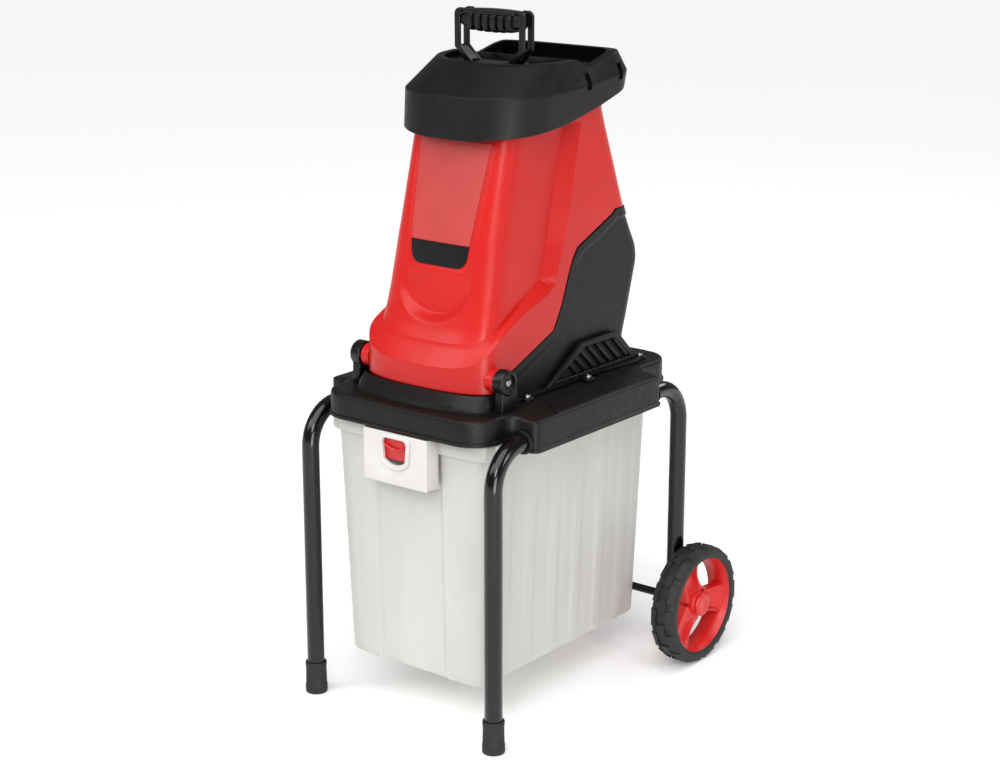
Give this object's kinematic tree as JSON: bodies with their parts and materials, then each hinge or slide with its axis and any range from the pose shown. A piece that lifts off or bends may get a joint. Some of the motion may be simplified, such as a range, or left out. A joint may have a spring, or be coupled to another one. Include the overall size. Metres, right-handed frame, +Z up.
{
  "type": "garden shredder",
  "caption": "Electric garden shredder on a wheeled tube frame: tilting red tower with hopper, blade disc and motor, pusher, and a slide-out collection box with a lock.",
  "frame": {"origin": "centre of the footprint on the floor", "axes": "+Z up, -Y to the front where the box slides out, +X to the machine's left seen from the front"},
  "size_m": [0.44, 0.548, 0.9815],
  "materials": {
    "frame_enamel": "gloss black enamel",
    "foot_rubber": "matt",
    "tyre_rubber": "matt, moulded",
    "rim_plastic": "gloss moulded",
    "zinc_steel": "zinc plated",
    "black_plastic": "satin moulded",
    "box_plastic": "translucent natural, satin",
    "white_plastic": "satin moulded",
    "red_plastic": "gloss moulded",
    "panel_plastic": "satin",
    "label_plastic": "gloss, bare",
    "motor_steel": "plain",
    "copper": "enamelled winding",
    "carbon": "carbon",
    "tool_steel": "ground",
    "plate_metal": "die cast",
    "green_plastic": "gloss moulded"
  },
  "bodies": {
    "chassis": {"frame_tube_left": "frame_enamel", "frame_tube_right": "frame_enamel", "foot_left": "foot_rubber", "foot_right": "foot_rubber", "axle": "frame_enamel", "axle_washers": "zinc_steel", "axle_nuts": "zinc_steel", "base_deck": "black_plastic", "shell_plinth": "black_plastic", "frame_bolts": "zinc_steel", "safety_switch": "black_plastic", "motor_housing": "black_plastic", "vent_left": "black_plastic", "vent_right": "black_plastic", "housing_screws": "zinc_steel", "hinge_bracket_left": "black_plastic", "hinge_bracket_right": "black_plastic", "hinge_pins": "zinc_steel", "chamber_plate": "plate_metal", "motor_can": "motor_steel", "motor_bolts": "zinc_steel", "stator_core": "motor_steel", "field_windings": "copper", "brush_holders": "black_plastic", "brushes": "carbon", "shaft_bearings": "zinc_steel", "switch_box": "black_plastic", "mains_inlet": "black_plastic"},
    "wheel_left": {"wheel_rim_left": "rim_plastic", "tyre_left": "tyre_rubber", "hub_cap_left": "rim_plastic"},
    "wheel_right": {"wheel_rim_right": "rim_plastic", "tyre_right": "tyre_rubber", "hub_cap_right": "rim_plastic"},
    "box": {"collection_box": "box_plastic", "lock_panel": "white_plastic"},
    "box_lock": {"lock_slider": "red_plastic"},
    "plunger": {"safety_plunger": "white_plastic"},
    "rotor": {"armature": "motor_steel", "commutator": "copper", "shaft": "tool_steel", "cooling_fan": "black_plastic", "blade_disc": "tool_steel", "knives": "tool_steel", "knife_screws": "zinc_steel", "disc_bolt": "zinc_steel"},
    "start": {"start_button": "green_plastic"},
    "stop": {"stop_button": "red_plastic"},
    "reset": {"reset_button": "black_plastic"},
    "hopper": {"tower_shell": "red_plastic", "front_panel": "panel_plastic", "label_plate": "label_plastic", "feed_chute": "black_plastic", "bed_knife": "tool_steel", "hopper_top": "black_plastic"},
    "knob": {"lock_knob": "black_plastic"},
    "pusher": {"pusher_paddle": "black_plastic", "pusher_handle": "black_plastic"}
  },
  "joints": [
    {"name": "wheel_left_spin", "type": "hinge", "parent": "chassis", "child": "wheel_left", "pos_m": [-0.2, 0.184, 0.09], "axis": [1, 0, 0], "continuous": true},
    {"name": "wheel_right_spin", "type": "hinge", "parent": "chassis", "child": "wheel_right", "pos_m": [0.2, 0.184, 0.09], "axis": [1, 0, 0], "continuous": true},
    {"name": "box_slide", "type": "slide", "parent": "chassis", "child": "box", "axis": [0, -1, 0], "range_m": [0, 0.4]},
    {"name": "box_lock_slide", "type": "slide", "parent": "box", "child": "box_lock", "axis": [0, 0, -1], "range_m": [0, 0.012], "stiffness_N_per_m": 100, "springref_m": -0.005},
    {"name": "safety_press", "type": "slide", "parent": "chassis", "child": "plunger", "axis": [0, 0, 1], "range_m": [0, 0.003], "stiffness_N_per_m": 100, "springref_m": -0.003},
    {"name": "rotor_spin", "type": "hinge", "parent": "chassis", "child": "rotor", "pos_m": [0, -0.02, 0.575], "axis": [0, 0.9272, -0.3746], "continuous": true},
    {"name": "start_press", "type": "slide", "parent": "chassis", "child": "start", "axis": [0, -1, 0], "range_m": [0, 0.003], "stiffness_N_per_m": 400, "springref_m": -0.002},
    {"name": "stop_press", "type": "slide", "parent": "chassis", "child": "stop", "axis": [0, -1, 0], "range_m": [0, 0.003], "stiffness_N_per_m": 400, "springref_m": -0.002},
    {"name": "reset_press", "type": "slide", "parent": "chassis", "child": "reset", "axis": [0, -1, 0], "range_m": [0, 0.003], "stiffness_N_per_m": 400, "springref_m": -0.002},
    {"name": "hopper_tilt", "type": "hinge", "parent": "chassis", "child": "hopper", "pos_m": [0, -0.186, 0.5035], "axis": [1, 0, 0], "range_deg": [0, 70]},
    {"name": "knob_turn", "type": "hinge", "parent": "hopper", "child": "knob", "pos_m": [0, 0.1385, 0.682], "axis": [0, 0.8944, 0.4472], "range_deg": [0, 360]},
    {"name": "pusher_lift", "type": "slide", "parent": "hopper", "child": "pusher", "axis": [0, 0, 1], "range_m": [0, 0.2]}
  ]
}
